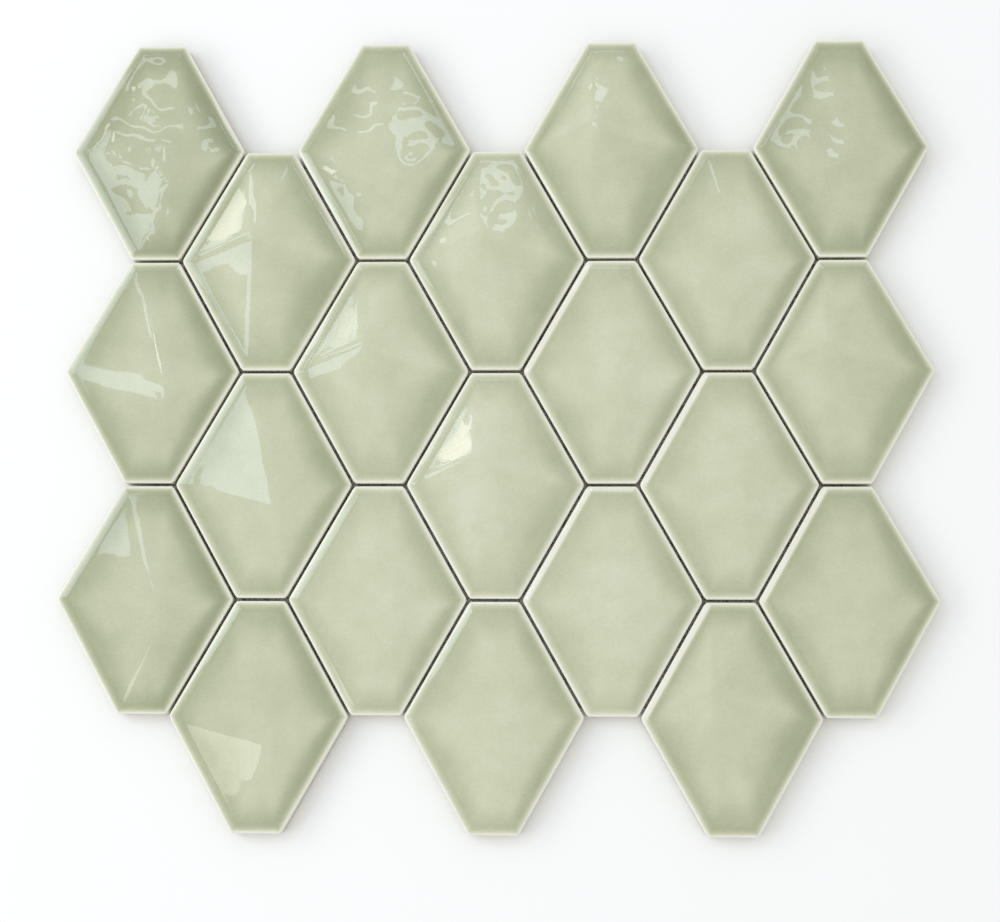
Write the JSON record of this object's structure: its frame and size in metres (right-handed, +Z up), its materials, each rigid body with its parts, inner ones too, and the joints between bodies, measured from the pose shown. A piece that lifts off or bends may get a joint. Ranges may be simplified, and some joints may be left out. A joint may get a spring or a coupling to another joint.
{
  "type": "mosaic tile sheet",
  "caption": "Mosaic sheet of glazed ceramic tiles, elongated hexagons with a bevelled rim and an off-centre faceted crown, set at a narrow joint on a mesh backing",
  "frame": {"origin": "under the middle of the sheet, on the lower face of the backing mesh", "axes": "+X along the rows of tiles, +Y up the columns, +Z up out of the glazed face"},
  "size_m": [0.3046, 0.279, 0.0091],
  "materials": {
    "glazed_tile": "glossy pale sage glaze, cream on the rims and olive where it pools",
    "backing_net": "coated glass strand"
  },
  "bodies": {
    "root": {"tile_column_1_top": "glazed_tile", "tile_column_1_middle": "glazed_tile", "tile_column_1_bottom": "glazed_tile", "tile_column_2_top": "glazed_tile", "tile_column_2_middle": "glazed_tile", "tile_column_2_bottom": "glazed_tile", "tile_column_3_top": "glazed_tile", "tile_column_3_middle": "glazed_tile", "tile_column_3_bottom": "glazed_tile", "tile_column_4_top": "glazed_tile", "tile_column_4_middle": "glazed_tile", "tile_column_4_bottom": "glazed_tile", "tile_column_5_top": "glazed_tile", "tile_column_5_middle": "glazed_tile", "tile_column_5_bottom": "glazed_tile", "tile_column_6_top": "glazed_tile", "tile_column_6_middle": "glazed_tile", "tile_column_6_bottom": "glazed_tile", "tile_column_7_top": "glazed_tile", "tile_column_7_middle": "glazed_tile", "tile_column_7_bottom": "glazed_tile", "backing_mesh_1": "backing_net", "backing_mesh_2": "backing_net", "backing_mesh_3": "backing_net"}
  },
  "joints": []
}
